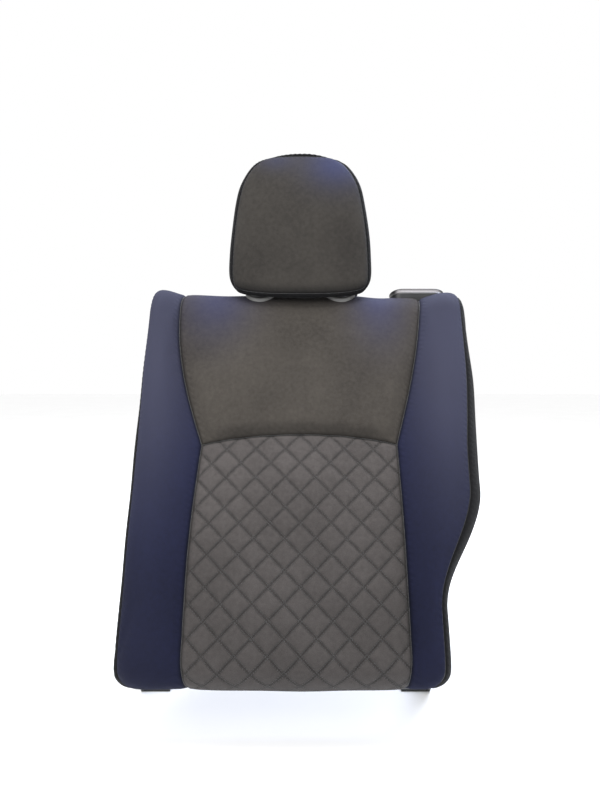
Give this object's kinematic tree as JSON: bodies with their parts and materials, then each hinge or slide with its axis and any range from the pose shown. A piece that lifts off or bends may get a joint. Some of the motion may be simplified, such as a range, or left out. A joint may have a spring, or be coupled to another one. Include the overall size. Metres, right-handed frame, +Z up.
{
  "type": "split rear seat backrest with trim covers",
  "caption": "Folding rear seat backrest with bolstered trim covers, a quilted lower insert, a height-adjustable head restraint, a side latch and floor hinge brackets.",
  "frame": {"origin": "middle of the whole object's footprint, on the floor under the brackets' feet", "axes": "+Z up, the seat faces -Y, +X to the right as seen from in front"},
  "size_m": [0.5318, 0.3388, 0.8801],
  "materials": {
    "foam": "matte",
    "navy_fabric": "matte",
    "black_fabric": "matte",
    "charcoal_fabric": "matte",
    "quilted_fabric": "matte",
    "carpet": "matte",
    "black_plastic": "satin",
    "grey_plastic": "satin",
    "black_steel": "satin",
    "zinc_steel": "satin",
    "chrome_rod": "polished"
  },
  "bodies": {
    "base": {"centre_floor_bracket": "black_steel", "outboard_floor_bracket": "black_steel", "centre_pivot_bolt": "zinc_steel", "outboard_pivot_bolt": "zinc_steel"},
    "headrest": {"headrest_rod": "chrome_rod", "headrest_core": "black_plastic", "headrest_foam": "foam", "headrest_front_cover": "charcoal_fabric", "headrest_rear_cover": "charcoal_fabric", "headrest_side_band": "black_fabric"},
    "lock_button": {"headrest_lock_button": "black_plastic"},
    "release": {"release_button": "black_plastic", "release_rod": "zinc_steel"},
    "hook": {"latch_hook": "zinc_steel"},
    "backrest": {"foam_pad": "foam", "left_bolster_cover": "navy_fabric", "right_bolster_cover": "navy_fabric", "left_gusset_cover": "black_fabric", "right_gusset_cover": "black_fabric", "upper_insert_cover": "charcoal_fabric", "quilted_insert_cover": "quilted_fabric", "rear_carpet_panel": "carpet", "centre_pivot_bush": "black_plastic", "outboard_pivot_bush": "black_plastic", "cover_hook_profile": "black_plastic", "release_bezel": "black_plastic", "left_guide_sleeve": "grey_plastic", "right_guide_sleeve": "grey_plastic", "frame_left_tube": "black_steel", "frame_right_tube": "black_steel", "frame_top_tube": "black_steel", "frame_lower_tube": "black_steel", "back_pan": "black_steel", "centre_hinge_plate": "black_steel", "outboard_hinge_plate": "black_steel", "left_guide_tube": "black_steel", "right_guide_tube": "black_steel", "release_spring": "zinc_steel", "latch_inner_plate": "zinc_steel", "latch_outer_plate": "zinc_steel", "latch_hook_pin": "zinc_steel", "left_seam_wire": "zinc_steel", "right_seam_wire": "zinc_steel", "arc_seam_wire": "zinc_steel"}
  },
  "joints": [
    {"name": "backrest_fold", "type": "hinge", "parent": "base", "child": "backrest", "pos_m": [0.0069, -0.06119, 0.118], "axis": [1, 0, 0], "range_deg": [0, 110]},
    {"name": "headrest_height", "type": "slide", "parent": "backrest", "child": "headrest", "axis": [0, 0.2079, 0.9781], "range_m": [0, 0.06]},
    {"name": "headrest_lock_press", "type": "slide", "parent": "backrest", "child": "lock_button", "axis": [-1, 0, 0], "range_m": [0, 0.004], "stiffness_N_per_m": 300, "springref_m": -0.001},
    {"name": "release_button_press", "type": "slide", "parent": "backrest", "child": "release", "axis": [0, -0.4067, -0.9135], "range_m": [0, 0.006], "stiffness_N_per_m": 400, "springref_m": -0.004, "deforming": ["release_spring"]},
    {"name": "latch_hook_swing", "type": "hinge", "parent": "backrest", "child": "hook", "pos_m": [0.2549, 0.08774, 0.55085], "axis": [1, 0, 0], "range_deg": [0, 24.5]}
  ],
  "couplings": [
    {"joint": "latch_hook_swing", "follows": "release_button_press", "rad_per_m": 69.8}
  ]
}
